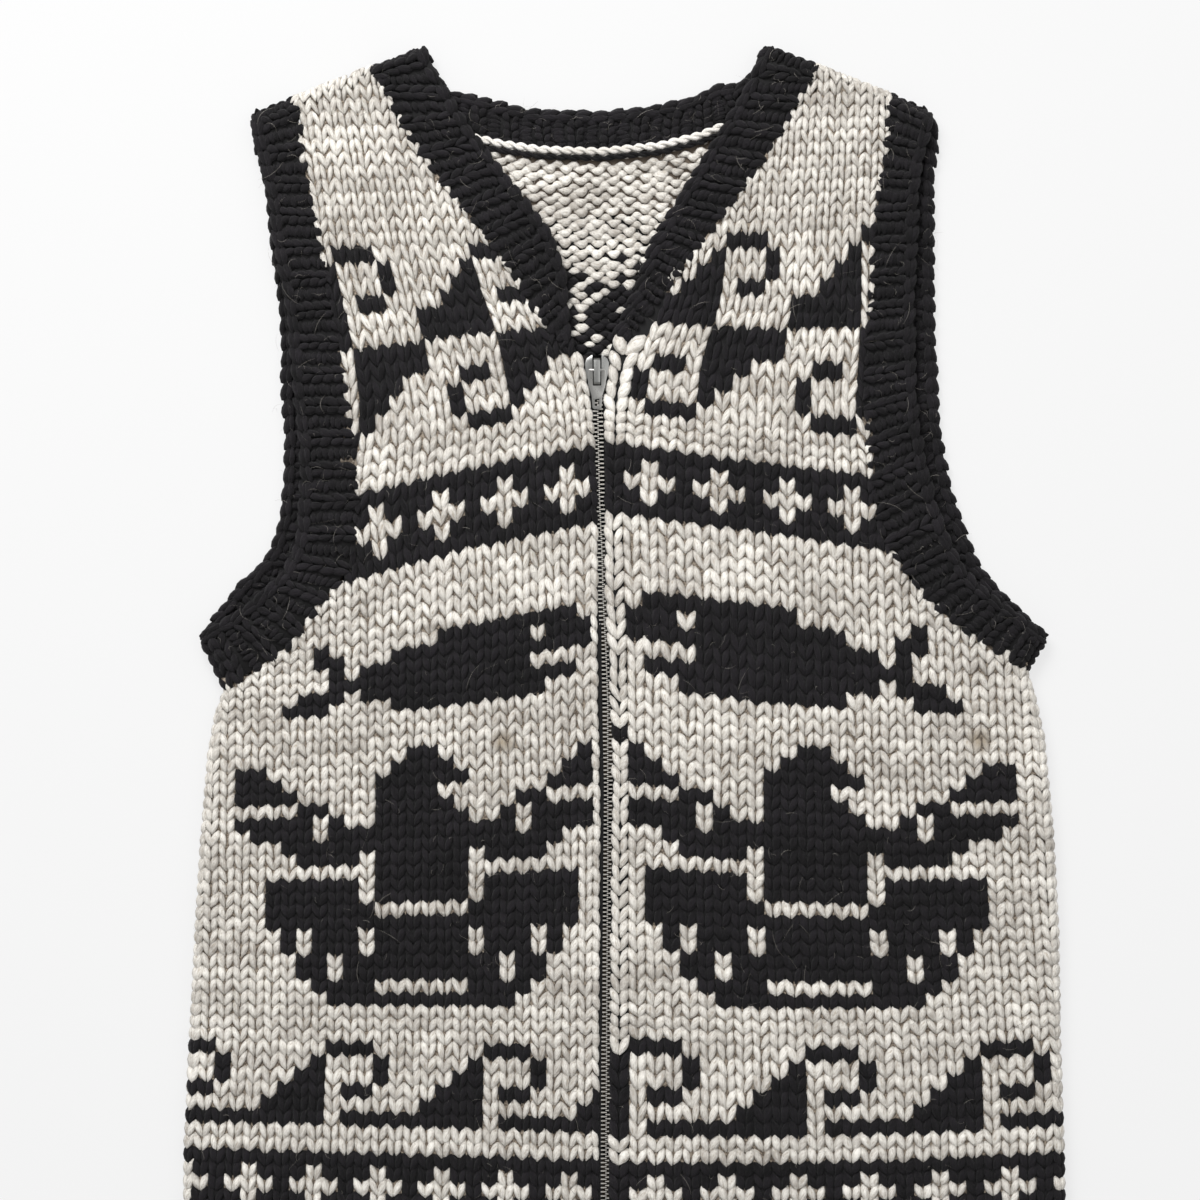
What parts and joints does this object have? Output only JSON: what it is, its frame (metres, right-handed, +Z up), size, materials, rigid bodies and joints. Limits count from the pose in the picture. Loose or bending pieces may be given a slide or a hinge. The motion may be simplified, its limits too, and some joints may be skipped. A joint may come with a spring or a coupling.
{
  "type": "cowichan vest",
  "caption": "Thick hand-knitted sleeveless wool vest with a V neck, ribbed bands and a front zip, laid flat on its back.",
  "frame": {"origin": "under the middle of the vest's outline, on the surface it lies on", "axes": "+Z up off the surface, +Y from the hem to the neck, +X towards the wearer's left front"},
  "size_m": [0.4882, 0.6742, 0.0142],
  "materials": {
    "back_wool": "thick knitted wool, heathered cream, with a black pattern in the finished look",
    "front_right_wool": "thick knitted wool, heathered cream, with a black pattern in the finished look",
    "front_left_wool": "thick knitted wool, heathered cream, with a black pattern in the finished look",
    "armhole_band_right_wool": "thick ribbed black wool",
    "armhole_band_left_wool": "thick ribbed black wool",
    "neck_band_wool": "thick ribbed black wool",
    "hem_rib_wool": "thick ribbed black wool",
    "zip_tape_right_cloth": "woven black zip tape",
    "zip_tape_left_cloth": "woven black zip tape",
    "zip_chain_metal": "dull nickel",
    "zip_slider_metal": "dull nickel",
    "zip_pull_metal": "dull nickel",
    "zip_box_metal": "dull nickel"
  },
  "bodies": {
    "vest": {"back": "back_wool", "front_right": "front_right_wool", "front_left": "front_left_wool", "armhole_band_right": "armhole_band_right_wool", "armhole_band_left": "armhole_band_left_wool", "neck_band": "neck_band_wool", "hem_rib": "hem_rib_wool", "zip_tape_right": "zip_tape_right_cloth", "zip_tape_left": "zip_tape_left_cloth", "zip_chain": "zip_chain_metal", "zip_slider": "zip_slider_metal", "zip_box": "zip_box_metal"},
    "pull": {"zip_pull": "zip_pull_metal"}
  },
  "joints": [
    {"name": "pull_hinge", "type": "hinge", "parent": "vest", "child": "pull", "pos_m": [-0.0154, 0.1578, 0.0121], "axis": [-1, 0, 0], "range_deg": [0, 170]}
  ]
}
